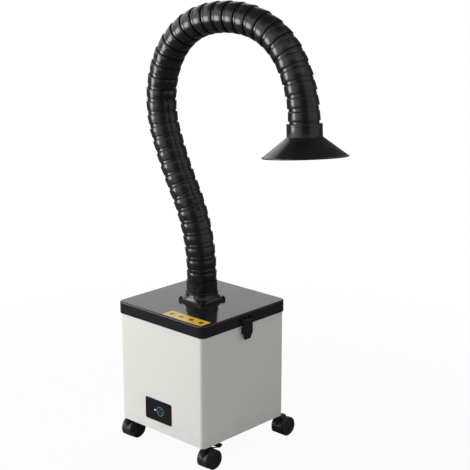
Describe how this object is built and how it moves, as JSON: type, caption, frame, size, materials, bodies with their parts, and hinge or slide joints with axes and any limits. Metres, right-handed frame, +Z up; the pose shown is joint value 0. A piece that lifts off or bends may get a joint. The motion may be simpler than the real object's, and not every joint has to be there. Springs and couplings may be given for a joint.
{
  "type": "welding fume extractor",
  "caption": "Square filter cabinet on twin-wheel casters with a latched lid and a self-supporting ribbed arm that arches over to a conical suction hood.",
  "frame": {"origin": "on the floor under the middle of the cabinet", "axes": "+Z up; the touch panel faces -Y; the arm reaches towards +X, where the seen latch is"},
  "size_m": [0.5704, 0.334, 1.1204],
  "materials": {
    "cabinet_paint": "satin",
    "lid_plastic": "satin",
    "arm_plastic": "satin",
    "hood_plastic": "satin",
    "black_plastic": "satin",
    "caster_plastic": "satin",
    "wheel_plastic": "satin",
    "sheet_steel": "satin",
    "zinc_steel": "satin",
    "latch_plastic": "satin",
    "seal_rubber": "matte",
    "panel_plastic": "gloss",
    "lit_ring": "satin",
    "lit_dot": "satin",
    "board": "satin",
    "motor_casing": "satin",
    "filter_medium": "matte",
    "filter_pad": "matte",
    "contact_brass": "satin",
    "amber_print": "satin"
  },
  "bodies": {
    "cabinet": {"cabinet_shell": "cabinet_paint", "base_plate": "sheet_steel", "base_screws": "zinc_steel", "lid_gasket": "seal_rubber", "control_panel": "panel_plastic", "touch_ring": "lit_ring", "status_light": "lit_dot", "control_board": "board", "deck_rails": "sheet_steel", "blower_deck": "sheet_steel", "blower_housing": "sheet_steel", "motor": "motor_casing", "main_filter": "filter_medium", "middle_filter": "filter_medium", "pre_filter": "filter_pad", "exhaust_grille": "black_plastic", "power_inlet": "black_plastic", "inlet_contacts": "contact_brass", "latch_catches": "latch_plastic", "caster_stems": "zinc_steel", "caster_nuts": "zinc_steel"},
    "lid": {"lid": "lid_plastic", "amber_strip": "amber_print", "hose_flange": "black_plastic", "flange_screws": "zinc_steel", "latch_brackets": "latch_plastic", "latch_pins": "zinc_steel"},
    "latch_right": {"latch_flap_right": "latch_plastic"},
    "latch_left": {"latch_flap_left": "latch_plastic"},
    "impeller": {"impeller": "black_plastic", "motor_shaft": "zinc_steel"},
    "arm_base": {"arm_base": "arm_plastic"},
    "arm_leg_lower": {"arm_leg_lower": "arm_plastic"},
    "arm_leg_upper": {"arm_leg_upper": "arm_plastic"},
    "arm_rise": {"arm_rise": "arm_plastic"},
    "arm_crown": {"arm_crown": "arm_plastic"},
    "arm_bend": {"arm_bend": "arm_plastic"},
    "arm_fall": {"arm_fall": "arm_plastic"},
    "hood": {"hood": "hood_plastic"},
    "front_right_caster": {"front_right_caster_cowl": "caster_plastic", "front_right_caster_axle": "zinc_steel"},
    "front_right_caster_left_wheel": {"front_right_caster_left_wheel": "wheel_plastic"},
    "front_right_caster_right_wheel": {"front_right_caster_right_wheel": "wheel_plastic"},
    "front_right_caster_brake": {"front_right_caster_brake": "caster_plastic"},
    "front_left_caster": {"front_left_caster_cowl": "caster_plastic", "front_left_caster_axle": "zinc_steel"},
    "front_left_caster_left_wheel": {"front_left_caster_left_wheel": "wheel_plastic"},
    "front_left_caster_right_wheel": {"front_left_caster_right_wheel": "wheel_plastic"},
    "front_left_caster_brake": {"front_left_caster_brake": "caster_plastic"},
    "rear_right_caster": {"rear_right_caster_cowl": "caster_plastic", "rear_right_caster_axle": "zinc_steel"},
    "rear_right_caster_left_wheel": {"rear_right_caster_left_wheel": "wheel_plastic"},
    "rear_right_caster_right_wheel": {"rear_right_caster_right_wheel": "wheel_plastic"},
    "rear_left_caster": {"rear_left_caster_cowl": "caster_plastic", "rear_left_caster_axle": "zinc_steel"},
    "rear_left_caster_left_wheel": {"rear_left_caster_left_wheel": "wheel_plastic"},
    "rear_left_caster_right_wheel": {"rear_left_caster_right_wheel": "wheel_plastic"}
  },
  "joints": [
    {"name": "lid_lift", "type": "slide", "parent": "cabinet", "child": "lid", "axis": [0, 0, 1], "range_m": [0, 0.07]},
    {"name": "latch_right_open", "type": "hinge", "parent": "lid", "child": "latch_right", "pos_m": [0.1555, 0, 0.357], "axis": [0, -1, 0], "range_deg": [0, 130]},
    {"name": "latch_left_open", "type": "hinge", "parent": "lid", "child": "latch_left", "pos_m": [-0.1555, 0, 0.357], "axis": [0, 1, 0], "range_deg": [0, 130]},
    {"name": "impeller_spin", "type": "hinge", "parent": "cabinet", "child": "impeller", "pos_m": [0, 0, 0.14], "axis": [0, 0, 1], "continuous": true},
    {"name": "arm_swivel", "type": "hinge", "parent": "lid", "child": "arm_base", "pos_m": [0, 0, 0.394], "axis": [0, 0, 1], "range_deg": [-170, 170]},
    {"name": "arm_leg_lower_bend", "type": "hinge", "parent": "arm_base", "child": "arm_leg_lower", "pos_m": [-0.02122, -0.00223, 0.57879], "axis": [-0.1045, 0.9945, 0], "range_deg": [-9.05, 16.95]},
    {"name": "arm_leg_upper_bend", "type": "hinge", "parent": "arm_leg_lower", "child": "arm_leg_upper", "pos_m": [-0.09606, -0.0101, 0.75], "axis": [-0.1045, 0.9945, 0], "range_deg": [-14.95, 11.05]},
    {"name": "arm_rise_bend", "type": "hinge", "parent": "arm_leg_upper", "child": "arm_rise", "pos_m": [-0.11484, -0.01207, 0.93253], "axis": [-0.1045, 0.9945, 0], "range_deg": [-20.4, 5.6]},
    {"name": "arm_crown_bend", "type": "hinge", "parent": "arm_rise", "child": "arm_crown", "pos_m": [0.0031, 0.00033, 1.06815], "axis": [-0.1045, 0.9945, 0], "range_deg": [-22.55, 3.45]},
    {"name": "arm_bend_bend", "type": "hinge", "parent": "arm_crown", "child": "arm_bend", "pos_m": [0.15608, 0.0164, 1.07554], "axis": [-0.1045, 0.9945, 0], "range_deg": [-23, 3]},
    {"name": "arm_fall_bend", "type": "hinge", "parent": "arm_bend", "child": "arm_fall", "pos_m": [0.27092, 0.02848, 0.97779], "axis": [-0.1045, 0.9945, 0], "range_deg": [-19.35, 6.65]},
    {"name": "hood_tilt", "type": "hinge", "parent": "arm_fall", "child": "hood", "pos_m": [0.30045, 0.03158, 0.85756], "axis": [-0.1045, 0.9945, 0], "range_deg": [-6.35, 10.65]},
    {"name": "front_right_caster_swivel", "type": "hinge", "parent": "cabinet", "child": "front_right_caster", "pos_m": [0.137, -0.137, 0.045], "axis": [0, 0, 1], "continuous": true},
    {"name": "front_right_caster_left_wheel_roll", "type": "hinge", "parent": "front_right_caster", "child": "front_right_caster_left_wheel", "pos_m": [0.137, -0.115, 0.025], "axis": [1, 0, 0], "continuous": true},
    {"name": "front_right_caster_right_wheel_roll", "type": "hinge", "parent": "front_right_caster", "child": "front_right_caster_right_wheel", "pos_m": [0.137, -0.115, 0.025], "axis": [1, 0, 0], "continuous": true},
    {"name": "front_right_caster_brake_press", "type": "hinge", "parent": "front_right_caster", "child": "front_right_caster_brake", "pos_m": [0.137, -0.116, 0.0534], "axis": [-1, 0, 0], "range_deg": [0, 11]},
    {"name": "front_left_caster_swivel", "type": "hinge", "parent": "cabinet", "child": "front_left_caster", "pos_m": [-0.137, -0.137, 0.045], "axis": [0, 0, 1], "continuous": true},
    {"name": "front_left_caster_left_wheel_roll", "type": "hinge", "parent": "front_left_caster", "child": "front_left_caster_left_wheel", "pos_m": [-0.137, -0.115, 0.025], "axis": [1, 0, 0], "continuous": true},
    {"name": "front_left_caster_right_wheel_roll", "type": "hinge", "parent": "front_left_caster", "child": "front_left_caster_right_wheel", "pos_m": [-0.137, -0.115, 0.025], "axis": [1, 0, 0], "continuous": true},
    {"name": "front_left_caster_brake_press", "type": "hinge", "parent": "front_left_caster", "child": "front_left_caster_brake", "pos_m": [-0.137, -0.116, 0.0534], "axis": [-1, 0, 0], "range_deg": [0, 11]},
    {"name": "rear_right_caster_swivel", "type": "hinge", "parent": "cabinet", "child": "rear_right_caster", "pos_m": [0.137, 0.137, 0.045], "axis": [0, 0, 1], "continuous": true},
    {"name": "rear_right_caster_left_wheel_roll", "type": "hinge", "parent": "rear_right_caster", "child": "rear_right_caster_left_wheel", "pos_m": [0.137, 0.159, 0.025], "axis": [1, 0, 0], "continuous": true},
    {"name": "rear_right_caster_right_wheel_roll", "type": "hinge", "parent": "rear_right_caster", "child": "rear_right_caster_right_wheel", "pos_m": [0.137, 0.159, 0.025], "axis": [1, 0, 0], "continuous": true},
    {"name": "rear_left_caster_swivel", "type": "hinge", "parent": "cabinet", "child": "rear_left_caster", "pos_m": [-0.137, 0.137, 0.045], "axis": [0, 0, 1], "continuous": true},
    {"name": "rear_left_caster_left_wheel_roll", "type": "hinge", "parent": "rear_left_caster", "child": "rear_left_caster_left_wheel", "pos_m": [-0.137, 0.159, 0.025], "axis": [1, 0, 0], "continuous": true},
    {"name": "rear_left_caster_right_wheel_roll", "type": "hinge", "parent": "rear_left_caster", "child": "rear_left_caster_right_wheel", "pos_m": [-0.137, 0.159, 0.025], "axis": [1, 0, 0], "continuous": true}
  ],
  "couplings": [
    {"joint": "latch_right_open", "follows": "lid_lift", "rad_per_m": 32.4},
    {"joint": "latch_left_open", "follows": "lid_lift", "rad_per_m": 32.4}
  ]
}
